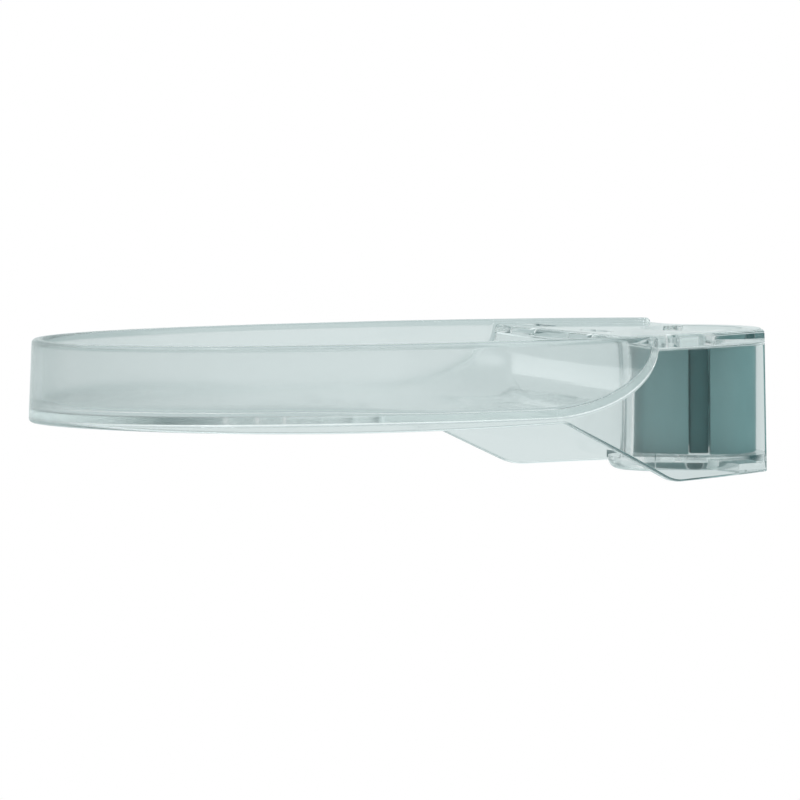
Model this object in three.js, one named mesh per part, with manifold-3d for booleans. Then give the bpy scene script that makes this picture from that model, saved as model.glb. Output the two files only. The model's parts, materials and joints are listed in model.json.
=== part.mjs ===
// Soap dish for a round grab bar: a clear egg-shaped tray that swivels on a grey split bush.
// Millimetres, +Z up. The bar runs along Z through the origin, and the tray points to -Y.
import * as THREE from 'three';
import { mergeVertices } from 'three/addons/utils/BufferGeometryUtils.js';
import Module from 'manifold-3d';

const wasm = await Module();
wasm.setup();

const degree = Math.PI / 180;

// Gaps: a running fit, rubber that just touches the bar, and small end recesses
const fitGap = 0.3;
const boreClearance = 0.15;
const touchGap = 0.05;
const endRecess = 0.2;

// Bar and split bush, which is turned a little about the bar
const barRadius = 11;
const bushRadius = 13.9;
const bushHalfHeight = 12.75;
const bushTurn = -22.2 * degree;
const slitWidth = 4.8;
const stripWidth = 4.2;
const stripRadius = 12.8;

// Lock screw in a boss on the rear half, its insert and the pad that it presses on the bar
const lockTurn = 53.2 * degree;
const bossRadius = 5.2;
const bossStartY = 12;
const bossEndY = 17.2;
const screwRadius = 1.75;
const insertRadius = 3;
const insertLength = 2.6;
const padRadius = 4;
const padThickness = 1.6;
const padWrapDepth = 2.2;
const padTravel = 1.2;
const socketAcrossFlats = 2;
const socketDepth = 1.8;

// Tray outline: a slightly squared front half-ellipse and a longer rear one, cut off at the cheeks' ends
const trayCentreY = -75.7;
const trayFrontLength = 82.2;
const trayRearLength = 102.9;
const trayHalfWidth = 45.4;
const frontSquareness = 2.2;
const cheekEndY = 3.7;
const wall = 2.2;
const draftPerMm = 0.00053;

// Heights
const rimZ = 16;
const deckTopZ = 15;
const deckUnderZ = bushHalfHeight + fitGap;
const floorTopZ = 0.2;
const floorThickness = 1.4;
const floorUnderZ = floorTopZ - floorThickness;
const trayBottomFrontZ = -2.3;
const trayBottomMiddleZ = -3.4;
const trayBottomRearZ = -2.5;
const cheekBottomFrontZ = -16.5;
const cheekBottomRearZ = -15.4;
const lowerPlateBottomZ = -16;

// Places along the tray
const tipY = trayCentreY - trayFrontLength;
const trayMiddleY = -106;
const gussetTopY = -53.5;
const gussetBottomY = -24.9;
const bowlBackY = -29.7;
const bowlLip = 1;
const bowlCurveTopZ = deckTopZ - bowlLip;
const rampLength = 28.6;
const frontCurveLength = 4;

// Cage for the bush: a ring above, a round foot below, and a spine between them in front of the bush
const upperRingRadius = 15.6;
const footRadius = 17.1;
const footCentreY = -1.5;
const footEdgeRadius = 2.3;
const spineWidth = 2;
const spineFrontY = -17.4;
const spineBackY = -15.2;
const plateClearance = 0.4;
const plateBoreRadius = barRadius + plateClearance;
const flareHalfWidth = 26;
const flareDepth = 8;
const flareTouchAngle = 33 * degree;
const lowerRibWidth = 8;
const lowerRibSetback = 1;

// Drain slots in the floor, along Y, and in the deck, along X
const floorSlot = { length: 22, width: 4, y: -98, pitch: 13, count: 3 };
const deckSlot = { length: 12, width: 4, y: -23.5, pitch: 28, count: 3 };

// How far cutting bodies reach past what they cut, and how finely curves are divided
const margin = 5;
const far = 200;
const roundSegments = 48;
const padFaceSegments = 96;
const screwSegments = 32;
const traySegments = 36;
const profileSegments = 20;
const slotSegments = 8;
const edgeSegments = 6;
const stripSegments = 6;
const mergeTolerance = 1e-4;

function toSolid(geometry) {
  const bare = geometry.clone();
  bare.deleteAttribute('normal');
  bare.deleteAttribute('uv');
  const merged = mergeVertices(bare, mergeTolerance);
  const vertProperties = new Float32Array(merged.attributes.position.array);
  const triVerts = new Uint32Array(merged.index.array);
  return new wasm.Manifold(new wasm.Mesh({ numProp: 3, vertProperties, triVerts }));
}

function toGeometry(solid) {
  const mesh = solid.getMesh();
  const geometry = new THREE.BufferGeometry();
  geometry.setAttribute('position', new THREE.BufferAttribute(mesh.vertProperties, 3));
  geometry.setIndex(new THREE.BufferAttribute(mesh.triVerts, 1));
  return geometry;
}

function prism(shape, lowZ, highZ, curveSegments = roundSegments) {
  const depth = highZ - lowZ;
  const geometry = new THREE.ExtrudeGeometry(shape, { depth, bevelEnabled: false, curveSegments });
  return geometry.translate(0, 0, lowZ);
}

// A side profile drawn in (y, z), swept across the width of the tray
function sideSweep(profile) {
  const halfSpan = trayHalfWidth + margin;
  const options = { depth: 2 * halfSpan, bevelEnabled: false, curveSegments: profileSegments };
  const axes = new THREE.Matrix4().makeBasis(
    new THREE.Vector3(0, 1, 0), new THREE.Vector3(0, 0, 1), new THREE.Vector3(1, 0, 0));
  const geometry = new THREE.ExtrudeGeometry(profile, options);
  return toSolid(geometry.applyMatrix4(axes).translate(-halfSpan, 0, 0));
}

function box(lowX, highX, lowY, highY, lowZ, highZ) {
  const geometry = new THREE.BoxGeometry(highX - lowX, highY - lowY, highZ - lowZ);
  return toSolid(geometry.translate((lowX + highX) / 2, (lowY + highY) / 2, (lowZ + highZ) / 2));
}

function cylinder(radius, lowZ, highZ, segments = roundSegments) {
  const geometry = new THREE.CylinderGeometry(radius, radius, highZ - lowZ, segments);
  return toSolid(geometry.rotateX(Math.PI / 2).translate(0, 0, (lowZ + highZ) / 2));
}

// A disc whose lower edge is rounded
function roundedDisc(radius, edgeRadius, lowZ, highZ) {
  const flatRadius = radius - edgeRadius;
  const profile = new THREE.Path();
  profile.moveTo(0, lowZ);
  profile.lineTo(flatRadius, lowZ);
  profile.absarc(flatRadius, lowZ + edgeRadius, edgeRadius, -Math.PI / 2, 0);
  profile.lineTo(radius, highZ);
  profile.lineTo(0, highZ);
  const points = profile.getPoints(edgeSegments);
  return toSolid(new THREE.LatheGeometry(points, roundSegments).rotateX(Math.PI / 2));
}

// A cylinder along +Y, for the screw and what it runs in
function cylinderY(radius, lowY, highY, segments = screwSegments) {
  const geometry = new THREE.CylinderGeometry(radius, radius, highY - lowY, segments);
  return toSolid(geometry.translate(0, (lowY + highY) / 2, 0));
}

function slotShape(slot, x, alongX) {
  const r = slot.width / 2;
  const reach = slot.length / 2 - r;
  const shape = new THREE.Shape();
  if (alongX) {
    shape.absarc(x + reach, slot.y, r, -Math.PI / 2, Math.PI / 2);
    shape.absarc(x - reach, slot.y, r, Math.PI / 2, 3 * Math.PI / 2);
  } else {
    shape.absarc(x, slot.y + reach, r, 0, Math.PI);
    shape.absarc(x, slot.y - reach, r, Math.PI, 2 * Math.PI);
  }
  return shape;
}

// The egg from its tip up the right side to the cheek's end, then back down the left side
function trayOutline(inset) {
  const width = trayHalfWidth - inset;
  const frontLength = trayFrontLength - inset;
  const rearLength = trayRearLength - inset;
  const endAngle = Math.asin((cheekEndY - trayCentreY) / rearLength);
  const power = 2 / frontSquareness;
  const right = [];
  for (let i = 0; i <= traySegments; i += 1) {
    const angle = (i / traySegments) * Math.PI / 2;
    const y = trayCentreY - frontLength * Math.cos(angle) ** power;
    right.push(new THREE.Vector2(width * Math.sin(angle) ** power, y));
  }
  for (let i = 1; i <= traySegments; i += 1) {
    const angle = (i / traySegments) * endAngle;
    right.push(new THREE.Vector2(width * Math.cos(angle), trayCentreY + rearLength * Math.sin(angle)));
  }
  const left = right.slice(1).reverse().map((point) => new THREE.Vector2(-point.x, point.y));
  return new THREE.Shape([...right, ...left]);
}

// The walls lean out a little towards the bottom
function draftedTray() {
  const geometry = prism(trayOutline(0), cheekBottomFrontZ - margin, rimZ);
  const position = geometry.attributes.position;
  for (let i = 0; i < position.count; i += 1) {
    const grow = 1 + draftPerMm * (rimZ - position.getZ(i));
    const y = trayCentreY + (position.getY(i) - trayCentreY) * grow;
    position.setXY(i, position.getX(i) * grow, Math.min(y, cheekEndY));
  }
  return toSolid(geometry);
}

// Everything above the tray's bowed bottom edge, the slanted gussets and the cheeks' bottom edges
function aboveBottomEdge() {
  const bowControlZ = 2 * trayBottomMiddleZ - (trayBottomFrontZ + trayBottomRearZ) / 2;
  const profile = new THREE.Shape();
  profile.moveTo(tipY - margin, rimZ + margin);
  profile.lineTo(tipY - margin, trayBottomFrontZ);
  profile.lineTo(tipY, trayBottomFrontZ);
  profile.quadraticCurveTo(trayMiddleY, bowControlZ, gussetTopY, trayBottomRearZ);
  profile.lineTo(gussetBottomY, cheekBottomFrontZ);
  profile.lineTo(cheekEndY + margin, cheekBottomRearZ);
  profile.lineTo(cheekEndY + margin, rimZ + margin);
  return sideSweep(profile);
}

// The bowl: curved up at the front, flat in the middle, with a long ramp at the back
function bowlSpace() {
  const frontY = tipY + wall;
  const frontEndY = frontY + frontCurveLength;
  const rampStartY = bowlBackY - rampLength;
  const height = bowlCurveTopZ - floorTopZ;
  const profile = new THREE.Shape();
  profile.moveTo(frontY - margin, rimZ + margin);
  profile.lineTo(frontY - margin, bowlCurveTopZ);
  profile.lineTo(frontY, bowlCurveTopZ);
  profile.absellipse(frontEndY, bowlCurveTopZ, frontCurveLength, height, Math.PI, 1.5 * Math.PI);
  profile.absellipse(rampStartY, bowlCurveTopZ, rampLength, height, 1.5 * Math.PI, 2 * Math.PI);
  profile.lineTo(bowlBackY, rimZ + margin);
  return sideSweep(profile);
}

// The open space under the floor, the ramp and the deck
function undersideSpace() {
  const rampStartY = bowlBackY - rampLength;
  const length = rampLength + floorThickness;
  const height = bowlCurveTopZ - floorUnderZ;
  const startAngle = 2 * Math.PI - Math.asin((bowlCurveTopZ - deckUnderZ) / height);
  const profile = new THREE.Shape();
  profile.moveTo(cheekEndY + margin, cheekBottomFrontZ - margin);
  profile.lineTo(cheekEndY + margin, deckUnderZ);
  profile.absellipse(rampStartY, bowlCurveTopZ, length, height, startAngle, 1.5 * Math.PI, true);
  profile.lineTo(tipY, floorUnderZ);
  profile.lineTo(tipY, cheekBottomFrontZ - margin);
  return sideSweep(profile);
}

// The ring round the bar behind the deck, with a hollow flare on each side
function upperRing() {
  const touchX = upperRingRadius * Math.cos(flareTouchAngle);
  const touchY = upperRingRadius * Math.sin(flareTouchAngle);
  const flare = new THREE.Shape();
  flare.moveTo(-flareHalfWidth, cheekEndY - flareDepth);
  flare.lineTo(flareHalfWidth, cheekEndY - flareDepth);
  flare.lineTo(flareHalfWidth, cheekEndY);
  flare.quadraticCurveTo(upperRingRadius, cheekEndY, touchX, touchY);
  flare.lineTo(-touchX, touchY);
  flare.quadraticCurveTo(-upperRingRadius, cheekEndY, -flareHalfWidth, cheekEndY);
  const ring = cylinder(upperRingRadius, deckUnderZ, deckTopZ);
  return toSolid(prism(flare, deckUnderZ, deckTopZ)).add(ring);
}

// The round foot, with a rib that runs out into both cheeks
function lowerPlate() {
  const topZ = -deckUnderZ;
  const ribBackY = cheekEndY - lowerRibSetback;
  const withinCheeks = toSolid(prism(trayOutline(wall / 2), lowerPlateBottomZ - margin, topZ + margin));
  const rib = box(-far, far, ribBackY - lowerRibWidth, ribBackY, lowerPlateBottomZ, topZ);
  const foot = roundedDisc(footRadius, footEdgeRadius, lowerPlateBottomZ, topZ);
  return foot.translate(0, footCentreY, 0).add(rib.intersect(withinCheeks));
}

// The spine ties the foot to the deck
function frontSpine() {
  const halfWidth = spineWidth / 2;
  return box(-halfWidth, halfWidth, spineFrontY, spineBackY, -deckUnderZ - touchGap, deckTopZ);
}

function slotCuts(slot, alongX, lowZ, highZ) {
  const cuts = [];
  for (let i = 0; i < slot.count; i += 1) {
    const x = (i - (slot.count - 1) / 2) * slot.pitch;
    cuts.push(toSolid(prism(slotShape(slot, x, alongX), lowZ, highZ, slotSegments)));
  }
  return cuts;
}

function dishBody() {
  const inside = toSolid(prism(trayOutline(wall), -far, far));
  const overDeck = box(-far, far, bowlBackY - margin, cheekEndY + margin, deckTopZ, rimZ + margin);
  const openRear = box(-far, far, cheekEndY - touchGap, cheekEndY + margin, -far, far);
  let body = draftedTray().intersect(aboveBottomEdge());
  body = body.subtract(inside.intersect(bowlSpace()));
  body = body.subtract(inside.intersect(overDeck));
  body = body.subtract(inside.add(openRear).intersect(undersideSpace()));
  body = body.add(upperRing()).add(lowerPlate()).add(frontSpine());
  body = body.subtract(cylinder(plateBoreRadius, -far, far));
  const cuts = [
    ...slotCuts(floorSlot, false, floorUnderZ - margin, floorTopZ + margin),
    ...slotCuts(deckSlot, true, deckUnderZ - margin, deckTopZ + margin),
  ];
  for (const cut of cuts) {
    body = body.subtract(cut);
  }
  return toGeometry(body);
}

// The round bush before it is split
function wholeBush() {
  const sleeve = cylinder(bushRadius, -bushHalfHeight, bushHalfHeight);
  return sleeve.subtract(cylinder(barRadius + boreClearance, -far, far));
}

const screwEndY = bossEndY - endRecess;
const padBackY = barRadius + touchGap + padThickness;
const pocketEndY = padBackY + padTravel + fitGap;
const insertStartY = screwEndY - insertLength;

function frontBushHalf() {
  return toGeometry(wholeBush().intersect(box(-far, far, -far, -slitWidth / 2, -far, far)));
}

// The rear half carries the boss, with a pocket for the pad and a hole for the insert
function rearBushHalf() {
  const lockAngles = [0, 0, lockTurn / degree];
  const half = wholeBush().intersect(box(-far, far, slitWidth / 2, far, -far, far));
  const boss = cylinderY(bossRadius, bossStartY, bossEndY, roundSegments).rotate(lockAngles);
  const pocket = cylinderY(padRadius + fitGap, 0, pocketEndY).rotate(lockAngles);
  const insertHole = cylinderY(insertRadius + fitGap, padBackY, far).rotate(lockAngles);
  return toGeometry(half.add(boss).subtract(pocket).subtract(insertHole));
}

// A rubber strip that fills the slit between the halves; side is 1 for +X and -1 for -X
function gripStrip(side) {
  const innerRadius = barRadius + touchGap;
  const innerAngle = Math.asin(stripWidth / 2 / innerRadius);
  const outerAngle = Math.asin(stripWidth / 2 / stripRadius);
  const facing = side > 0 ? 0 : Math.PI;
  const shape = new THREE.Shape();
  shape.absarc(0, 0, stripRadius, facing - outerAngle, facing + outerAngle);
  shape.absarc(0, 0, innerRadius, facing + innerAngle, facing - innerAngle, true);
  const halfHeight = bushHalfHeight - endRecess;
  return prism(shape, -halfHeight, halfHeight, stripSegments);
}

function threadedInsert() {
  const sleeve = cylinderY(insertRadius, insertStartY, screwEndY);
  return toGeometry(sleeve.subtract(cylinderY(screwRadius + fitGap, 0, far)));
}

function lockScrew() {
  const socketRadius = socketAcrossFlats / Math.sqrt(3);
  const socket = cylinderY(socketRadius, screwEndY - socketDepth, far, 6);
  return toGeometry(cylinderY(screwRadius, padBackY + fitGap, screwEndY).subtract(socket));
}

// The pad's face is hollowed to sit on the bar
function pressurePad() {
  const disc = cylinderY(padRadius, barRadius - padWrapDepth, padBackY);
  return toGeometry(disc.subtract(cylinder(barRadius + touchGap, -far, far, padFaceSegments)));
}

const clearPlastic = new THREE.MeshStandardMaterial({ color: 0xd3e0de, roughness: 0.08, metalness: 0 });
const greyPlastic = new THREE.MeshStandardMaterial({ color: 0x8fa5a6, roughness: 0.4, metalness: 0 });
const darkRubber = new THREE.MeshStandardMaterial({ color: 0x334648, roughness: 0.75, metalness: 0 });
const brass = new THREE.MeshStandardMaterial({ color: 0xb5954f, roughness: 0.35, metalness: 1 });
const stainlessSteel = new THREE.MeshStandardMaterial({ color: 0xb9bcbe, roughness: 0.3, metalness: 1 });

function piece(name, geometry, material) {
  const mesh = new THREE.Mesh(geometry, material.clone());
  mesh.name = name;
  return mesh;
}

const bush = new THREE.Group();
bush.rotation.z = bushTurn;
bush.add(piece('front_bush_half', frontBushHalf(), greyPlastic));
bush.add(piece('rear_bush_half', rearBushHalf(), greyPlastic));
bush.add(piece('right_grip_strip', gripStrip(1), darkRubber));
bush.add(piece('left_grip_strip', gripStrip(-1), darkRubber));

const lock = new THREE.Group();
lock.rotation.z = lockTurn;
lock.add(piece('threaded_insert', threadedInsert(), brass));
lock.add(piece('lock_screw', lockScrew(), stainlessSteel));
lock.add(piece('pressure_pad', pressurePad(), darkRubber));
bush.add(lock);

const soapDish = new THREE.Group();
soapDish.add(piece('dish_body', dishBody(), clearPlastic));
soapDish.add(bush);

export default soapDish;
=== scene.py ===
import json
import math

import bpy
from mathutils import Matrix, Vector

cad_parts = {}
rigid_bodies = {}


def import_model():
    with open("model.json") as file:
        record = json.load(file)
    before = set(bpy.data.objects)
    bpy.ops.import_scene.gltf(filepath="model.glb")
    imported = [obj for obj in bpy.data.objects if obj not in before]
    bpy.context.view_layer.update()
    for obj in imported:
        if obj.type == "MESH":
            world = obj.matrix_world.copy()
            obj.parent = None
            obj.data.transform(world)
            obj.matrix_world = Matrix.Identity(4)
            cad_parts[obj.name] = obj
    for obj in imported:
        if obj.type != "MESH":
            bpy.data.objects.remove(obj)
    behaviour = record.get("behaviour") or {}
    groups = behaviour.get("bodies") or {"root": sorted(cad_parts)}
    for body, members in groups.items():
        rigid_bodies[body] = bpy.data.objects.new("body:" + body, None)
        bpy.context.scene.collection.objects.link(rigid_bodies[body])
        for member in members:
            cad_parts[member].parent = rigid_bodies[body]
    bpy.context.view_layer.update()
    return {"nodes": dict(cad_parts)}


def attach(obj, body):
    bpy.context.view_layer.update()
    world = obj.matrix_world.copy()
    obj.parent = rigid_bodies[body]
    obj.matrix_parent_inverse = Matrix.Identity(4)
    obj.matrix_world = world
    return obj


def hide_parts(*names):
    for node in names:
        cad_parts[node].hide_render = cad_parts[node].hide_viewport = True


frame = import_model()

mm = 0.001
scene = bpy.context.scene
scene.view_settings.view_transform = "Standard"
# Light that is caught in the clear walls needs many bounces to come out again
lightBounces = 128
scene.cycles.max_bounces = lightBounces
scene.cycles.glossy_bounces = lightBounces
scene.cycles.transmission_bounces = lightBounces
print("frame loaded with", len(frame["nodes"]), "nodes")


# Camera: a long lens from the tray's right front, a little above the rim
photoView = {
    "azimuth": 63.64,
    "elevation": 3.19,
    "roll": -0.16,
    "distance": 4.4,
    "sensor": 36,
    "pixelSize": 0.22 * mm,              # one pixel at the tray
    "imagePixels": 800,
    "target": (0, -75.7, 16),            # middle of the egg, at the rim
    "targetPixel": (385.1, 332.2),
}


def addCamera():
    view = photoView
    az, el = math.radians(view["azimuth"]), math.radians(view["elevation"])
    look = Vector((-math.sin(az) * math.cos(el), math.cos(az) * math.cos(el), -math.sin(el)))
    right = Vector((math.cos(az), math.sin(az), 0))
    up = right.cross(look)
    middle = view["imagePixels"] / 2
    across = (middle - view["targetPixel"][0]) * view["pixelSize"]
    down = (middle - view["targetPixel"][1]) * view["pixelSize"]
    aim = Vector(view["target"]) * mm + right * across - up * down
    bpy.ops.object.camera_add()
    camera = bpy.context.object
    camera.name = "photo_camera"
    camera.data.sensor_width = view["sensor"]
    camera.data.lens = view["sensor"] * view["distance"] / (view["imagePixels"] * view["pixelSize"])
    turn = Matrix((right, up, -look)).transposed() @ Matrix.Rotation(math.radians(view["roll"]), 3, "Z")
    camera.matrix_world = Matrix.Translation(aim - look * view["distance"]) @ turn.to_4x4()
    scene.camera = camera
    print("camera done")


# Small tools for materials
mixFirst, mixSecond, mixResult = 6, 7, 2     # colour sockets of a Mix node


def srgb(code):
    parts = [int(code[i:i + 2], 16) / 255 for i in (0, 2, 4)]
    linear = [p / 12.92 if p <= 0.04045 else ((p + 0.055) / 1.055) ** 2.4 for p in parts]
    return (*linear, 1)


def addNode(tree, kind, settings=None, links=None):
    node = tree.nodes.new(kind)
    for key, value in (settings or {}).items():
        if isinstance(key, int) or key in node.inputs:
            node.inputs[key].default_value = value
        else:
            setattr(node, key, value)
    for socket, source in (links or {}).items():
        tree.links.new(source, node.inputs[socket])
    return node


def newMaterial(name):
    material = bpy.data.materials.new(name)
    material.use_nodes = True
    material.node_tree.nodes.clear()
    return material, material.node_tree


# Clear styrene, injection moulded: polished, faintly green in its thickness, with slow flow waves
clearStyrene = {
    "tint": "f5f7f7",
    "ior": 1.57,
    "roughness": (0.12, 0.03),           # hazier at the tip, where the melt arrives cold
    "hazeFadeY": (-105 * mm, -60 * mm),
    "hazeVariation": 0.02,
    "absorbColor": "9cc4c0",
    "absorbPerMetre": 3,
    "flowWidth": 14 * mm,                # slow waves left by the melt front
    "flowDetail": 1.5,
    "flowDepth": 0.02 * mm,
    "flowStrength": 0.6,
}


def clearStyreneMaterial():
    look = clearStyrene
    material, tree = newMaterial("clear_styrene_moulded")
    coords = addNode(tree, "ShaderNodeTexCoord")
    flow = addNode(tree, "ShaderNodeTexNoise",
                   {"Scale": 1 / look["flowWidth"], "Detail": look["flowDetail"]},
                   {"Vector": coords.outputs["Object"]})
    place = addNode(tree, "ShaderNodeSeparateXYZ", None, {"Vector": coords.outputs["Object"]})
    fade = addNode(tree, "ShaderNodeMapRange",
                   {"From Min": look["hazeFadeY"][0], "From Max": look["hazeFadeY"][1],
                    "To Min": look["roughness"][0], "To Max": look["roughness"][1]},
                   {"Value": place.outputs["Y"]})
    haze = addNode(tree, "ShaderNodeMath", {"operation": "MULTIPLY_ADD", 1: look["hazeVariation"]},
                   {0: flow.outputs["Fac"], 2: fade.outputs["Result"]})
    bump = addNode(tree, "ShaderNodeBump", {"Strength": look["flowStrength"], "Distance": look["flowDepth"]},
                   {"Height": flow.outputs["Fac"]})
    glass = addNode(tree, "ShaderNodeBsdfPrincipled",
                    {"Base Color": srgb(look["tint"]), "IOR": look["ior"], "Transmission Weight": 1},
                    {"Roughness": haze.outputs[0], "Normal": bump.outputs["Normal"]})
    absorb = addNode(tree, "ShaderNodeVolumeAbsorption",
                     {"Color": srgb(look["absorbColor"]), "Density": look["absorbPerMetre"]})
    addNode(tree, "ShaderNodeOutputMaterial", None,
            {"Surface": glass.outputs["BSDF"], "Volume": absorb.outputs["Volume"]})
    return material


# Grey acetal, moulded with a fine spark-eroded grain: satin, slightly cloudy in tone
greyAcetal = {
    "name": "grey_acetal_moulded",
    "shader": {"IOR": 1.48},
    "shades": ("6c9394", "769d9e"),
    "cloudWidth": 9 * mm, "cloudDetail": 3,
    "grainWidth": 0.5 * mm, "grainDetail": 2,    # drawn coarse enough to show
    "grainDepth": 0.012 * mm, "grainStrength": 0.5,
    "roughness": (0.32, 0.46),
}

# Moulded nitrile rubber: dark, matt, with a fine talc speckle that also roughens it
darkRubber = {
    "name": "dark_nitrile_rubber",
    "shader": {"IOR": 1.52},
    "shades": ("2e5c5d", "396768"),
    "cloudWidth": 0.7 * mm, "cloudDetail": 4,
    "grainWidth": 0.7 * mm, "grainDetail": 4,
    "grainDepth": 0.02 * mm, "grainStrength": 0.5,
    "roughness": (0.6, 0.8),
}

# Turned metal: bright, with fine marks left by the lathe tool
turnedBrass = {
    "name": "turned_brass",
    "shader": {"Metallic": 1},
    "shades": ("b08d45", "c4a35c"),
    "cloudWidth": 0.35 * mm, "cloudDetail": 2,
    "grainWidth": 0.35 * mm, "grainDetail": 2,   # drawn coarse enough to show
    "grainDepth": 0.01 * mm, "grainStrength": 0.4,
    "roughness": (0.22, 0.38),
}
turnedSteel = {**turnedBrass, "name": "turned_stainless_steel", "shades": ("9fa2a4", "c2c4c6")}


def grainedMaterial(look):
    first, second = look["shades"]
    material, tree = newMaterial(look["name"])
    coords = addNode(tree, "ShaderNodeTexCoord")
    cloud = addNode(tree, "ShaderNodeTexNoise",
                    {"Scale": 1 / look["cloudWidth"], "Detail": look["cloudDetail"]},
                    {"Vector": coords.outputs["Object"]})
    grain = addNode(tree, "ShaderNodeTexNoise",
                    {"Scale": 1 / look["grainWidth"], "Detail": look["grainDetail"]},
                    {"Vector": coords.outputs["Object"]})
    color = addNode(tree, "ShaderNodeMix",
                    {"data_type": "RGBA", mixFirst: srgb(first), mixSecond: srgb(second)},
                    {"Factor": cloud.outputs["Fac"]})
    rough = addNode(tree, "ShaderNodeMapRange",
                    {"To Min": look["roughness"][0], "To Max": look["roughness"][1]},
                    {"Value": grain.outputs["Fac"]})
    bump = addNode(tree, "ShaderNodeBump",
                   {"Strength": look["grainStrength"], "Distance": look["grainDepth"]},
                   {"Height": grain.outputs["Fac"]})
    shader = addNode(tree, "ShaderNodeBsdfPrincipled", look["shader"],
                     {"Base Color": color.outputs[mixResult], "Roughness": rough.outputs["Result"],
                      "Normal": bump.outputs["Normal"]})
    addNode(tree, "ShaderNodeOutputMaterial", None, {"Surface": shader.outputs["BSDF"]})
    return material


# Small tools for modelling
cutterReach = 40                         # millimetres, past every face of the part


def clearSelection():
    bpy.ops.object.select_all(action="DESELECT")


def makeActive(piece):
    clearSelection()
    piece.select_set(True)
    bpy.context.view_layer.objects.active = piece


def applyModifier(piece, kind, **settings):
    makeActive(piece)
    modifier = piece.modifiers.new(kind.lower(), kind)
    for key, value in settings.items():
        setattr(modifier, key, value)
    bpy.ops.object.modifier_apply(modifier=modifier.name)


def combine(piece, other, operation):
    applyModifier(piece, "BOOLEAN", object=other, operation=operation, solver="MANIFOLD")
    bpy.data.objects.remove(other)


def outlinePlate(name, points, lowZ, highZ):
    clearSelection()
    bpy.ops.mesh.primitive_circle_add(vertices=len(points), fill_type="NGON")
    plate = bpy.context.object
    plate.name = name
    for vertex, point in zip(plate.data.vertices, points):
        vertex.co = (point[0] * mm, point[1] * mm, lowZ * mm)
    bpy.ops.object.mode_set(mode="EDIT")
    bpy.ops.mesh.select_all(action="SELECT")
    bpy.ops.mesh.extrude_region_move(TRANSFORM_OT_translate={"value": (0, 0, (highZ - lowZ) * mm)})
    bpy.ops.mesh.select_all(action="SELECT")
    bpy.ops.mesh.normals_make_consistent(inside=False)
    bpy.ops.object.mode_set(mode="OBJECT")
    return plate


def addCylinder(name, radius, lowZ, highZ, centre=(0, 0), sides=96):
    clearSelection()
    place = (centre[0] * mm, centre[1] * mm, (lowZ + highZ) / 2 * mm)
    bpy.ops.mesh.primitive_cylinder_add(
        vertices=sides, radius=radius * mm, depth=(highZ - lowZ) * mm, location=place)
    piece = bpy.context.object
    piece.name = name
    bpy.ops.object.transform_apply(location=True, rotation=True, scale=True)
    return piece


def roundEdges(piece, width, segments=3, angle=40):
    applyModifier(piece, "BEVEL", width=width * mm, segments=segments, limit_method="ANGLE",
                  angle_limit=math.radians(angle), use_clamp_overlap=True)


def smoothShade(piece, angle=35):
    makeActive(piece)
    bpy.ops.object.shade_smooth_by_angle(angle=math.radians(angle))
    applyModifier(piece, "WEIGHTED_NORMAL", mode="FACE_AREA", weight=100, keep_sharp=True)


def arcPoints(centre, radius, startDegrees, endDegrees, count):
    turns = [math.radians(startDegrees + (endDegrees - startDegrees) * i / count) for i in range(count + 1)]
    return [(centre[0] + radius * math.cos(a), centre[1] + radius * math.sin(a)) for a in turns]


def setMaterial(piece, material):
    piece.data.materials.clear()
    piece.data.materials.append(material)


def finishPiece(piece, body, node, material):
    smoothShade(piece)
    setMaterial(piece, material)
    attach(piece, body)
    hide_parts(node)


# The dish: one clear moulding, in millimetres
dish = {
    "centreY": -75.7, "frontLength": 82.2, "rearLength": 102.9, "halfWidth": 45.4,
    "squareness": 2.2, "cheekEndY": 3.7, "wall": 2.2, "draftPerMm": 0.00053,
    "rimZ": 16, "deckTopZ": 15, "deckUnderZ": 13.05, "floorTopZ": 0.2, "floorThickness": 1.4,
    "bottomZ": (-2.3, -3.4, -2.5),       # tray's bottom edge at tip, middle and gusset
    "bottomReach": 1.2,                  # the bow goes on a little behind the gusset's top
    "gusset": ((-53.5, -2.5), (-24.9, -16.5)),
    "cheekRearZ": -15.4,
    "cornerSoftness": (0.4, 1.3),        # at the gusset's top and foot
    "bowlBackY": -29.7, "rampLength": 28.6, "lip": 1.0,
    "bowlFillet": 3, "rampFillet": 0.9, "filletFadeY": (-120, -80),
    "rimRound": 0.9, "rimTaper": 1.7, "endRound": 0.85,
    "tipEdge": 1.0, "tipEdgeFade": (0.2, 0.6), "sideEdge": 0.6, "innerEdge": 0.4, "roofFillet": 0.8,
    "filletShare": 0.5, "rimShare": 0.45, "edgeShare": 0.4,      # largest part of the height there is
    "filletSteps": 7, "rimSteps": 5, "wallSteps": 6, "edgeSteps": 5, "innerSteps": 3, "roofSteps": 4,
    "frontRows": 46, "deckRows": 22, "acrossColumns": 24,
    "closestRows": 4e-4, "weld": 0.002,
}
dish["tipY"] = dish["centreY"] - dish["frontLength"]
dish["floorUnderZ"] = dish["floorTopZ"] - dish["floorThickness"]
dish["curveTopZ"] = dish["deckTopZ"] - dish["lip"]
dish["rampStartY"] = dish["bowlBackY"] - dish["rampLength"]


def faded(place, limits, first, last):
    share = min(max((place - limits[0]) / (limits[1] - limits[0]), 0), 1)
    return first + (last - first) * share * share * (3 - 2 * share)


def softMin(a, b, softness):
    h = max(softness - abs(a - b), 0) / softness
    return min(a, b) - h * h * softness / 4


def rearEndAngle(inset, grow=1):
    return math.asin((dish["cheekEndY"] - dish["centreY"]) / ((dish["rearLength"] - inset) * grow))


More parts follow.
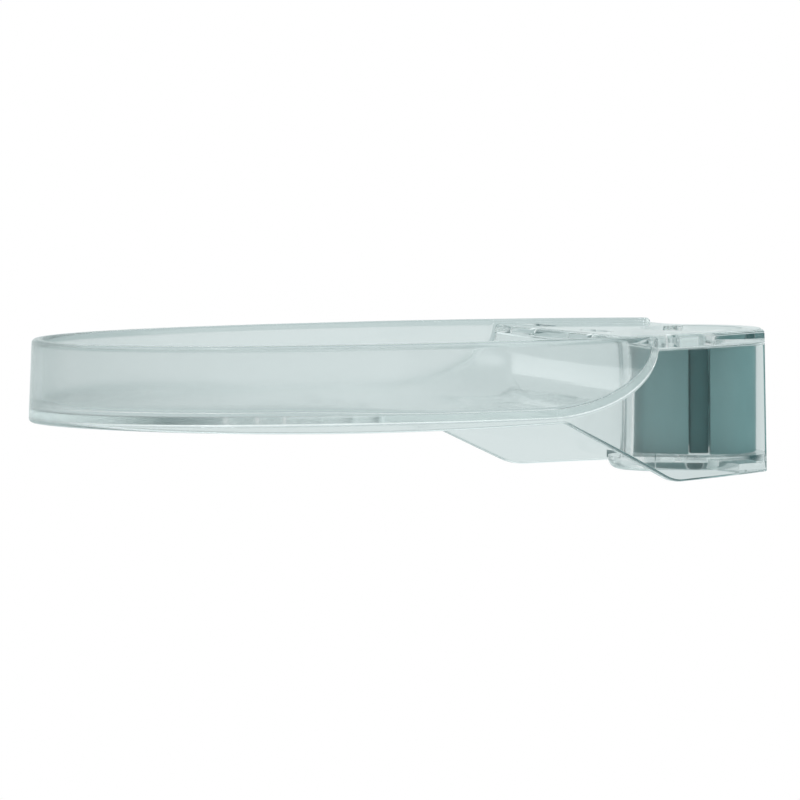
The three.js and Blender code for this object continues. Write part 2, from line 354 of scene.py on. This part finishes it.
# t runs from 0 at the tip over 1 at the widest place to 2 at the cheek's end
def eggPoint(t, inset, grow=1):
    width = (dish["halfWidth"] - inset) * grow
    if t <= 1:
        power = 2 / dish["squareness"]
        angle = t * math.pi / 2
        length = (dish["frontLength"] - inset) * grow
        return width * math.sin(angle) ** power, dish["centreY"] - length * abs(math.cos(angle)) ** power
    angle = (t - 1) * rearEndAngle(inset, grow)
    return width * math.cos(angle), dish["centreY"] + (dish["rearLength"] - inset) * grow * math.sin(angle)


def shellPoint(t, inset, z):
    wall = dish["wall"]
    if inset >= wall:
        return Vector((*eggPoint(t, inset), z))
    outer = Vector(eggPoint(t, 0, 1 + dish["draftPerMm"] * (dish["rimZ"] - z)))
    inner = Vector(eggPoint(t, wall))
    return Vector((*outer.lerp(inner, inset / wall), z))


def quarterRise(y, length, height):
    reach = min(max((y - dish["rampStartY"]) / length, 0), 1)
    return dish["curveTopZ"] - height * math.sqrt(1 - reach * reach)


# Floor, ramp, rounded lip and deck, seen from above
def topZ(y):
    if y < dish["bowlBackY"]:
        return quarterRise(y, dish["rampLength"], dish["curveTopZ"] - dish["floorTopZ"])
    back = max(1 - (y - dish["bowlBackY"]) / dish["lip"], 0)
    return dish["curveTopZ"] + dish["lip"] * math.sqrt(1 - back * back)


def underZ(y):
    length = dish["rampLength"] + dish["floorThickness"]
    rise = quarterRise(y, length, dish["curveTopZ"] - dish["floorUnderZ"])
    return min(rise, dish["deckUnderZ"])


# Bottom edge: a bowed tray, a straight gusset and a nearly level cheek
def bottomZ(y):
    front, middle, rear = dish["bottomZ"]
    (topY, gussetTopZ), (footY, footZ) = dish["gusset"]
    along = min(max((y - dish["tipY"]) / (topY - dish["tipY"]), 0), dish["bottomReach"])
    bow = front + (rear - front) * along + 4 * (middle - (front + rear) / 2) * along * (1 - along)
    slope = (footZ - gussetTopZ) / (footY - topY)
    gusset = gussetTopZ + slope * (y - topY)
    cheek = footZ + (dish["cheekRearZ"] - footZ) * (y - footY) / (dish["cheekEndY"] - footY)
    edge = softMin(bow, gusset, dish["cornerSoftness"][0])
    return -softMin(-edge, -cheek, dish["cornerSoftness"][1])


def edgeZ(t, inset):
    guess = bottomZ(shellPoint(t, inset, dish["floorUnderZ"]).y)
    return bottomZ(shellPoint(t, inset, guess).y)


# How far the rim and both faces of the wall are rounded off at t, at the end of the cheek
def endDrop(t):
    size = dish["endRound"]
    reach = min(max((eggPoint(t, dish["wall"])[1] - dish["cheekEndY"]) / size + 1, 0), 1)
    return size * (1 - math.sqrt(1 - reach * reach))


def squeezedPoint(t, inset, z):
    drop, half = endDrop(t), dish["wall"] / 2
    if inset > 2 * half:
        return shellPoint(t, inset - drop, z)
    return shellPoint(t, half + (inset - half) * (1 - drop / half), z)


def quarterTurn(steps):
    turns = [i / steps * math.pi / 2 for i in range(steps + 1)]
    return [(math.sin(a), math.cos(a)) for a in turns]


# Section of the wall at t, from the bowl over the rim and down to the underside
def wallSection(t):
    wall, rimZ = dish["wall"], dish["rimZ"] - endDrop(t)
    largest = faded(eggPoint(t, wall)[1], dish["filletFadeY"], dish["bowlFillet"], dish["rampFillet"])
    fillet = largest
    for _ in range(3):                   # the fillet and the floor's height set each other
        floorZ = topZ(eggPoint(t, wall + fillet)[1])
        fillet = min(largest, dish["filletShare"] * (rimZ - floorZ))
    rimIn = min(dish["rimRound"], dish["rimShare"] * (rimZ - floorZ))
    taper = min(dish["rimTaper"], dish["rimShare"] * (rimZ - floorZ))
    rimOut = dish["rimRound"]
    innerTop, wallTop = rimZ - taper, rimZ - rimOut
    points = []
    for s, c in quarterTurn(dish["filletSteps"]):    # bowl fillet
        points.append((wall + fillet * (1 - s), floorZ + fillet * (1 - c)))
    points.append((wall, (points[-1][1] + innerTop) / 2))
    for s, c in quarterTurn(dish["rimSteps"]):       # inner rim
        points.append((wall - rimIn * (1 - c), innerTop + taper * s))
    for s, c in quarterTurn(dish["rimSteps"]):       # outer rim
        points.append((rimOut * (1 - s), rimZ - rimOut * (1 - c)))
    section = [squeezedPoint(t, inset, z) for inset, z in points]
    lowOut, lowIn = edgeZ(t, 0), edgeZ(t, wall)
    edge = faded(t, dish["tipEdgeFade"], dish["tipEdge"], dish["sideEdge"])
    for i in range(1, dish["wallSteps"]):            # outer wall
        section.append(squeezedPoint(t, 0, wallTop + (lowOut + edge - wallTop) * i / dish["wallSteps"]))
    for s, c in quarterTurn(dish["edgeSteps"]):      # outer bottom edge
        inset = edge * (1 - c)
        section.append(squeezedPoint(t, inset, edgeZ(t, inset) + edge * (1 - s)))
    roofZ = underZ(eggPoint(t, wall)[1])
    innerEdge = min(dish["innerEdge"], dish["edgeShare"] * (roofZ - lowIn))
    for s, c in quarterTurn(dish["innerSteps"]):     # inner bottom edge
        inset = wall - innerEdge * (1 - s)
        section.append(squeezedPoint(t, inset, edgeZ(t, inset) + innerEdge * (1 - c)))
    roofFillet = min(dish["roofFillet"], dish["edgeShare"] * (roofZ - lowIn))
    for s, c in quarterTurn(dish["roofSteps"]):      # fillet under the floor and the deck
        inset = wall + roofFillet * (1 - c)
        roof = underZ(eggPoint(t, inset)[1]) - roofFillet * (1 - s)
        section.append(squeezedPoint(t, inset, roof))
    return section


# Rows along the tray, close together where the ramp, its lip and the corners curve most
def rowPlaces():
    places = [i / dish["frontRows"] for i in range(dish["frontRows"] + 1)]
    start, end, back = dish["rampStartY"], dish["cheekEndY"], dish["bowlBackY"]
    middleStep, middleRows = 2, 8                    # millimetres apart
    cornerStep, cornerRows = 0.5, 6                  # on each side of a corner
    rampTurn, rampRows = 2.5, 36                     # degrees apart
    lipTurn, lipRows = 12.5, 7
    endTurn, endRows = 15, 6
    rows = [dish["centreY"] + middleStep * i for i in range(1, middleRows + 1)]
    for i in range(rampRows + 1):
        turn = math.radians(i * rampTurn)
        rows.append(start + dish["rampLength"] * math.sin(turn))
        rows.append(start + (dish["rampLength"] + dish["floorThickness"]) * math.sin(turn))
    rows += [back + dish["lip"] * (1 - math.cos(math.radians(i * lipTurn))) for i in range(1, lipRows + 1)]
    for cornerY, _ in dish["gusset"]:
        rows += [cornerY + cornerStep * i for i in range(-cornerRows, cornerRows + 1)]
    rows += [end - dish["endRound"] * (1 - math.sin(math.radians(i * endTurn))) for i in range(endRows)]
    rows += [back + (end - back) * i / dish["deckRows"] for i in range(1, dish["deckRows"])]
    length = dish["rearLength"] - dish["wall"]
    for y in rows:
        if dish["centreY"] < y < end:
            places.append(1 + math.asin((y - dish["centreY"]) / length) / rearEndAngle(dish["wall"]))
    places.append(2)
    kept = []
    for place in sorted(places):
        if not kept or place - kept[-1] > dish["closestRows"]:
            kept.append(place)
    kept[-1] = 2
    return kept


def crossRow(right, columns):
    return [Vector((right.x * (1 - 2 * i / columns), right.y, right.z)) for i in range(1, columns)]


# The shell is lofted through its sections, row by row, and closed at the back
def trayShell():
    columns = dish["acrossColumns"]
    loops = []
    for t in rowPlaces():
        side = wallSection(t)
        mirrored = [Vector((-p.x, p.y, p.z)) for p in side]
        loops.append(side + crossRow(side[-1], columns) + mirrored[::-1] + crossRow(side[0], columns)[::-1])
    count, sideCount = len(loops[0]), len(side)
    points = [p * mm for loop in loops for p in loop]
    faces = []
    for row in range(len(loops) - 1):
        a, b = row * count, (row + 1) * count
        for i in range(count):
            j = (i + 1) % count
            faces.append((a + i, a + j, b + j, b + i))
    last = (len(loops) - 1) * count
    leftStart = sideCount + columns - 1
    faces.append(tuple(last + i for i in range(sideCount)))
    faces.append(tuple(last + leftStart + i for i in range(sideCount)))
    topEdge = [last] + [last + count - i for i in range(1, columns)] + [last + leftStart + sideCount - 1]
    underEdge = [last + sideCount - 1 + i for i in range(columns + 1)]
    for i in range(columns):
        faces.append((topEdge[i], underEdge[i], underEdge[i + 1], topEdge[i + 1]))
    mesh = bpy.data.meshes.new("dish_shell")
    mesh.from_pydata(points, [], faces)
    shell = bpy.data.objects.new("dish_shell", mesh)
    scene.collection.objects.link(shell)
    makeActive(shell)
    bpy.ops.object.mode_set(mode="EDIT")
    bpy.ops.mesh.select_all(action="SELECT")
    bpy.ops.mesh.remove_doubles(threshold=dish["weld"] * mm)
    bpy.ops.mesh.dissolve_degenerate(threshold=dish["weld"] * mm)
    bpy.ops.mesh.select_all(action="SELECT")
    bpy.ops.mesh.normals_make_consistent(inside=False)
    bpy.ops.object.mode_set(mode="OBJECT")
    return shell


# The cage for the bush: ring above, round foot below, spine in front and rib into the cheeks
cage = {
    "ringRadius": 15.6, "boreRadius": 11.4, "ringSteps": 40, "ringEdge": 0.35,
    "flareHalfWidth": 26, "flareDepth": 8, "flareTouch": 33, "flareSteps": 12,
    "footRadius": 17.1, "footY": -1.5, "footZ": -16, "footSides": 128, "footEdge": 2.3, "footEdgeSteps": 8,
    "spineHalfWidth": 1, "spineY": (-17.4, -15.2), "spineEdge": 0.25,
    "spineSunk": (0.4, 0.3),             # into the foot and the deck
    "ribWidth": 8, "ribSetback": 1, "ribHalfLengths": (31.9, 28.3),
    "ribInset": (0.5, 0.4),              # from the foot's underside and top
}


def upperRing():
    radius, reach = cage["ringRadius"], cage["flareHalfWidth"]
    end, steps = dish["cheekEndY"], cage["flareSteps"]
    touch = arcPoints((0, 0), radius, cage["flareTouch"], 180 - cage["flareTouch"], cage["ringSteps"])
    bendStart, bendMiddle = Vector((reach, end)), Vector((radius, end))
    bend = []
    for i in range(steps):
        s = i / steps
        bend.append(bendStart.lerp(bendMiddle, s).lerp(bendMiddle.lerp(Vector(touch[0]), s), s))
    left = [(-p[0], p[1]) for p in reversed(bend)]
    outline = [(-reach, end - cage["flareDepth"]), (reach, end - cage["flareDepth"])]
    outline += [tuple(p) for p in bend] + touch + left
    ring = outlinePlate("upper_ring", outline, dish["deckUnderZ"], dish["deckTopZ"])
    roundEdges(ring, cage["ringEdge"])
    return ring


def lowerFoot():
    topOfFoot = -dish["deckUnderZ"]
    foot = addCylinder("round_foot", cage["footRadius"], cage["footZ"], topOfFoot,
                       (0, cage["footY"]), cage["footSides"])
    bpy.ops.object.mode_set(mode="EDIT")
    bpy.ops.mesh.select_all(action="DESELECT")
    bpy.ops.object.mode_set(mode="OBJECT")
    low, closeEnough = cage["footZ"] * mm, 1e-6
    for edge in foot.data.edges:
        edge.select = all(abs(foot.data.vertices[v].co.z - low) < closeEnough for v in edge.vertices)
    bpy.ops.object.mode_set(mode="EDIT")
    bpy.ops.mesh.bevel(offset=cage["footEdge"] * mm, segments=cage["footEdgeSteps"], affect="EDGES")
    bpy.ops.object.mode_set(mode="OBJECT")
    half, (front, back) = cage["spineHalfWidth"], cage["spineY"]
    corners = [(-half, front), (half, front), (half, back), (-half, back)]
    spine = outlinePlate("front_spine", corners,
                         topOfFoot - cage["spineSunk"][0], dish["deckTopZ"] - cage["spineSunk"][1])
    roundEdges(spine, cage["spineEdge"])
    back = dish["cheekEndY"] - cage["ribSetback"]
    front = back - cage["ribWidth"]
    frontHalf, backHalf = cage["ribHalfLengths"]
    corners = [(-frontHalf, front), (frontHalf, front), (backHalf, back), (-backHalf, back)]
    rib = outlinePlate("lower_rib", corners,
                       cage["footZ"] + cage["ribInset"][0], topOfFoot - cage["ribInset"][1])
    combine(foot, spine, "UNION")
    combine(foot, rib, "UNION")
    return foot


# Round-ended drain slots through the tray's floor and the deck
drainSlots = {
    "floor": {"length": 22, "width": 4, "y": -98, "pitch": 13, "alongX": False, "cutZ": (-8, 8)},
    "deck": {"length": 12, "width": 4, "y": -23.5, "pitch": 28, "alongX": True, "cutZ": (8, 30)},
    "count": 3, "endSteps": 12,
}


def slotOutline(slot, x):
    radius, steps = slot["width"] / 2, drainSlots["endSteps"]
    reach, y = slot["length"] / 2 - radius, slot["y"]
    if slot["alongX"]:
        return (arcPoints((x + reach, y), radius, -90, 90, steps)
                + arcPoints((x - reach, y), radius, 90, 270, steps))
    return (arcPoints((x, y + reach), radius, 0, 180, steps)
            + arcPoints((x, y - reach), radius, 180, 360, steps))


def dishCutters():
    cutters = [addCylinder("bore_cutter", cage["boreRadius"], -cutterReach, cutterReach)]
    for kind in ("floor", "deck"):
        slot = drainSlots[kind]
        for i in range(drainSlots["count"]):
            x = (i - (drainSlots["count"] - 1) / 2) * slot["pitch"]
            cutters.append(outlinePlate(kind + "_slot_cutter", slotOutline(slot, x), *slot["cutZ"]))
    clearSelection()
    for cutter in cutters:
        cutter.select_set(True)
    bpy.context.view_layer.objects.active = cutters[0]
    bpy.ops.object.join()
    return cutters[0]


def buildDish(material):
    body = trayShell()
    combine(body, upperRing(), "UNION")
    combine(body, lowerFoot(), "UNION")
    combine(body, dishCutters(), "DIFFERENCE")
    body.name = "clear_dish"
    finishPiece(body, "dish", "dish_body", material)
    print("dish body:", len(body.data.polygons), "faces")


# The split bush, with the boss that holds the lock
bush = {
    "radius": 13.9, "halfHeight": 12.75, "turn": -22.2, "bore": 11.15, "sides": 128,
    "slit": 4.8, "edge": 0.45,
    "lockTurn": 53.2, "boss": 5.2, "bossReach": (12, 17.2), "bossSides": 64,
    "padPocket": 4.3, "pocketEnd": 14.15, "insertHole": 3.05,
}


def rotation(degrees, axis):
    return Matrix.Rotation(math.radians(degrees), 4, axis)


def layOnLockAxis(piece, degrees):
    piece.data.transform(rotation(degrees, "Z") @ rotation(-90, "X"))


def lockCylinder(radius, start, end):
    piece = addCylinder("lock_cylinder", radius, start, end, sides=bush["bossSides"])
    layOnLockAxis(piece, bush["lockTurn"])
    return piece


def bushHalf(name, towardsBack):
    half = addCylinder(name, bush["radius"], -bush["halfHeight"], bush["halfHeight"], sides=bush["sides"])
    bore = addCylinder("bore", bush["bore"], -cutterReach, cutterReach, sides=bush["sides"])
    combine(half, bore, "DIFFERENCE")
    side = 1 if towardsBack else -1
    makeActive(half)
    bpy.ops.object.mode_set(mode="EDIT")
    bpy.ops.mesh.select_all(action="SELECT")
    bpy.ops.mesh.bisect(plane_co=(0, side * bush["slit"] / 2 * mm, 0), plane_no=(0, -side, 0),
                        use_fill=True, clear_outer=True)
    bpy.ops.object.mode_set(mode="OBJECT")
    if towardsBack:
        combine(half, lockCylinder(bush["boss"], *bush["bossReach"]), "UNION")
        combine(half, lockCylinder(bush["padPocket"], 0, bush["pocketEnd"]), "DIFFERENCE")
        combine(half, lockCylinder(bush["insertHole"], 0, cutterReach), "DIFFERENCE")
    roundEdges(half, bush["edge"])
    return half


# The rubber strips in the two slits of the bush
strip = {
    "width": 4.2, "inner": 11.05, "outer": 12.8, "halfHeight": 12.55, "edge": 0.3, "arcSteps": 8,
}


def gripStrip(name, facing):
    halfIn = math.degrees(math.asin(strip["width"] / 2 / strip["inner"]))
    halfOut = math.degrees(math.asin(strip["width"] / 2 / strip["outer"]))
    outline = arcPoints((0, 0), strip["outer"], facing - halfOut, facing + halfOut, strip["arcSteps"])
    outline += arcPoints((0, 0), strip["inner"], facing + halfIn, facing - halfIn, strip["arcSteps"])
    piece = outlinePlate(name, outline, -strip["halfHeight"], strip["halfHeight"])
    roundEdges(piece, strip["edge"])
    return piece


def buildClamp(grey, rubber):
    rows = (
        (bushHalf("grey_front_half", False), "front_bush_half", "grey_plastic", grey),
        (bushHalf("grey_rear_half", True), "rear_bush_half", "grey_plastic", grey),
        (gripStrip("right_rubber_strip", 0), "right_grip_strip", "dark_rubber", rubber),
        (gripStrip("left_rubber_strip", 180), "left_grip_strip", "dark_rubber", rubber),
    )
    for piece, node, slot, material in rows:
        piece.data.transform(rotation(bush["turn"], "Z"))
        finishPiece(piece, "clamp", node, material)
    print("bush and strips done")


# The knurled brass insert that the screw runs in
insert = {
    "radius": 3, "reach": (14.4, 17), "bore": 1.82, "boreSides": 48,
    "knurls": 28, "knurlDepth": 0.18, "edge": 0.15,
}


def knurledInsert():
    piece = addCylinder("brass_insert", insert["radius"], *insert["reach"], sides=2 * insert["knurls"])
    share = 1 - insert["knurlDepth"] / insert["radius"]
    for vertex in piece.data.vertices:
        step = round(math.atan2(vertex.co.y, vertex.co.x) / math.pi * insert["knurls"])
        if step % 2:
            vertex.co.x, vertex.co.y = vertex.co.x * share, vertex.co.y * share
    bore = addCylinder("insert_bore", insert["bore"], 0, cutterReach, sides=insert["boreSides"])
    combine(piece, bore, "DIFFERENCE")
    roundEdges(piece, insert["edge"], segments=1, angle=60)
    return piece


# The lock screw: a rod with a helical thread, a short point at its inner end and a hexagon socket
screw = {
    "radius": 1.75, "reach": (12.95, 17), "pitch": 0.7, "threadDepth": 0.24, "point": 0.5,
    "sides": 36, "rows": 40, "socketFlats": 2, "socketDepth": 1.8,
}


def threadedScrew():
    low, high = screw["reach"]
    rowStep = (high - low) / screw["rows"] * mm
    clearSelection()
    bpy.ops.mesh.primitive_circle_add(vertices=screw["sides"], radius=screw["radius"] * mm,
                                      fill_type="NGON", location=(0, 0, low * mm))
    piece = bpy.context.object
    piece.name = "steel_lock_screw"
    bpy.ops.object.transform_apply(location=True, rotation=True, scale=True)
    bpy.ops.object.mode_set(mode="EDIT")
    for _ in range(screw["rows"]):
        bpy.ops.mesh.extrude_region_move(TRANSFORM_OT_translate={"value": (0, 0, rowStep)})
    bpy.ops.mesh.select_all(action="SELECT")
    bpy.ops.mesh.normals_make_consistent(inside=False)
    bpy.ops.object.mode_set(mode="OBJECT")
    for vertex in piece.data.vertices:
        x, y, z = vertex.co / mm
        turn = (z / screw["pitch"] - math.atan2(y, x) / (2 * math.pi)) % 1
        depth = screw["threadDepth"] * abs(2 * turn - 1)
        fromEnd = min(z - low, 2 * (high - z))       # the outer end is only chamfered
        taper = max(screw["point"] - fromEnd, 0)
        scale = (screw["radius"] - max(depth, taper)) / math.hypot(x, y)
        vertex.co.x, vertex.co.y = vertex.co.x * scale, vertex.co.y * scale
    socketRadius = screw["socketFlats"] / math.sqrt(3)
    socket = addCylinder("socket", socketRadius, high - screw["socketDepth"], high + 1, sides=6)
    combine(piece, socket, "DIFFERENCE")
    return piece


# The pad that the screw presses on the bar, hollowed to fit it
pad = {
    "radius": 4, "reach": (8.8, 12.65), "sides": 64, "edge": 0.3,
    "bar": 11.05, "barHalfLength": 20, "barSides": 192,
}


def hollowPad():
    piece = addCylinder("rubber_pad", pad["radius"], *pad["reach"], sides=pad["sides"])
    reach = pad["barHalfLength"]
    bar = addCylinder("bar_cutter", pad["bar"], -reach, reach, sides=pad["barSides"])
    bar.data.transform(rotation(90, "X"))
    combine(piece, bar, "DIFFERENCE")
    roundEdges(piece, pad["edge"])
    return piece


def buildLock(brass, steel, rubber):
    rows = (
        (knurledInsert(), "clamp", "threaded_insert", "brass", brass),
        (threadedScrew(), "screw", "lock_screw", "stainless_steel", steel),
        (hollowPad(), "pad", "pressure_pad", "dark_rubber", rubber),
    )
    for piece, body, node, slot, material in rows:
        layOnLockAxis(piece, bush["lockTurn"] + bush["turn"])
        finishPiece(piece, body, node, material)
    print("lock screw, insert and pad done")


# Stage: a white floor well below the part, soft lamps and a pale surround
stage = {
    "floorZ": -250, "floorRadius": 1700, "floorSides": 96,
    "floorShade": "f4f5f5", "floorWhite": 0.7, "floorSeen": "c0cfcf",
    "white": "ffffff", "ambient": "f2f2f2",
    "surround": ((0, "a2b4b4"), (0.4, "c8d4d4"), (0.46, "dee8e8"),       # from straight down to straight up
                 (0.54, "dee8e8"), (0.62, "d0dcdc"), (1, "b4c5c5")),
    "nearSide": "f2f7f7", "nearSideFrom": (-0.3, 0.6),
    "tipSide": "ffffff", "tipSideFrom": (-0.4, -0.85),
    "openSide": "4a6668", "openSideFrom": (0.6, 0.95),
    "lampAim": (0, -0.07, 0),
    "lamps": (                           # name, place and size in metres, watts
        ("key_lamp", (0.55, -0.6, 1.2), 2.1, 5),
        ("fill_lamp", (1.3, 0.7, 0.9), 1.9, 7),
        ("back_lamp", (-0.8, 0.2, 1.2), 1.8, 4),
        ("edge_lamp", (1.1, -0.7, 1.1), 0.3, 2),
    ),
}


# Rays that come by reflection in the part, or through its clear plastic
def plasticRays(tree, rays):
    either = addNode(tree, "ShaderNodeMath", {"operation": "MAXIMUM"},
                     {0: rays.outputs["Is Glossy Ray"], 1: rays.outputs["Is Transmission Ray"]})
    return either.outputs[0]


# White to the camera, and the pale surround of a light tent to what is seen in or through the plastic
def surroundColor(tree, direction):
    rays = addNode(tree, "ShaderNodeLightPath")
    axes = addNode(tree, "ShaderNodeSeparateXYZ", None, {"Vector": direction})
    level = addNode(tree, "ShaderNodeMapRange", {"From Min": -1, "From Max": 1}, {"Value": axes.outputs["Z"]})
    ramp = addNode(tree, "ShaderNodeValToRGB", None, {"Fac": level.outputs["Result"]})
    stops = ramp.color_ramp.elements
    while len(stops) < len(stage["surround"]):
        stops.new(0.5)
    for stop, (place, shade) in zip(stops, stage["surround"]):
        stop.position, stop.color = place, srgb(shade)
    tent = ramp.outputs["Color"]
    for axis, name in (("X", "nearSide"), ("Y", "tipSide"), ("Y", "openSide")):
        start, full = stage[name + "From"]
        side = addNode(tree, "ShaderNodeMapRange", {"From Min": start, "From Max": full},
                       {"Value": axes.outputs[axis]})
        mix = addNode(tree, "ShaderNodeMix", {"data_type": "RGBA", mixSecond: srgb(stage[name])},
                      {"Factor": side.outputs["Result"], mixFirst: tent})
        tent = mix.outputs[mixResult]
    seen = addNode(tree, "ShaderNodeMix", {"data_type": "RGBA", mixFirst: srgb(stage["ambient"])},
                   {"Factor": plasticRays(tree, rays), mixSecond: tent})
    shown = addNode(tree, "ShaderNodeMix", {"data_type": "RGBA", mixSecond: srgb(stage["white"])},
                    {"Factor": rays.outputs["Is Camera Ray"], mixFirst: seen.outputs[mixResult]})
    return shown.outputs[mixResult]


# Matt white paper: takes the part's shadow, and looks white to the camera and pale through the plastic
def floorMaterial():
    material, tree = newMaterial("matt_white_floor")
    rays = addNode(tree, "ShaderNodeLightPath")
    camera = rays.outputs["Is Camera Ray"]
    matt = addNode(tree, "ShaderNodeBsdfDiffuse", {"Color": srgb(stage["floorShade"])})
    shade = addNode(tree, "ShaderNodeMix",
                    {"data_type": "RGBA", mixFirst: srgb(stage["floorSeen"]),
                     mixSecond: srgb(stage["white"])}, {"Factor": camera})
    white = addNode(tree, "ShaderNodeEmission", {"Strength": 1}, {"Color": shade.outputs[mixResult]})
    share = addNode(tree, "ShaderNodeMath", {"operation": "MULTIPLY_ADD", 1: stage["floorWhite"]},
                    {0: camera, 2: plasticRays(tree, rays)})
    mix = addNode(tree, "ShaderNodeMixShader", None,
                  {"Fac": share.outputs[0], 1: matt.outputs[0], 2: white.outputs[0]})
    addNode(tree, "ShaderNodeOutputMaterial", None, {"Surface": mix.outputs[0]})
    return material


def buildStage():
    clearSelection()
    bpy.ops.mesh.primitive_circle_add(vertices=stage["floorSides"], radius=stage["floorRadius"] * mm,
                                      fill_type="NGON", location=(0, 0, stage["floorZ"] * mm))
    floor = bpy.context.object
    floor.name = "floor"
    setMaterial(floor, floorMaterial())
    world = bpy.data.worlds.new("white_surround")
    scene.world = world
    world.use_nodes = True
    tree = world.node_tree
    tree.nodes.clear()
    coords = addNode(tree, "ShaderNodeTexCoord")
    background = addNode(tree, "ShaderNodeBackground", {"Strength": 1},
                         {"Color": surroundColor(tree, coords.outputs["Generated"])})
    addNode(tree, "ShaderNodeOutputWorld", None, {"Surface": background.outputs[0]})
    for name, place, size, power in stage["lamps"]:
        bpy.ops.object.light_add(type="AREA", location=place)
        lamp = bpy.context.object
        lamp.name = name
        lamp.data.shape = "DISK"
        lamp.data.size = size
        lamp.data.energy = power
        aim = Vector(stage["lampAim"]) - Vector(place)
        lamp.rotation_euler = aim.to_track_quat("-Z", "Y").to_euler()
    print("stage done")


addCamera()
clear = clearStyreneMaterial()
grey = grainedMaterial(greyAcetal)
rubber = grainedMaterial(darkRubber)
brass = grainedMaterial(turnedBrass)
steel = grainedMaterial(turnedSteel)
print("materials done")
buildDish(clear)
buildClamp(grey, rubber)
buildLock(brass, steel, rubber)
buildStage()
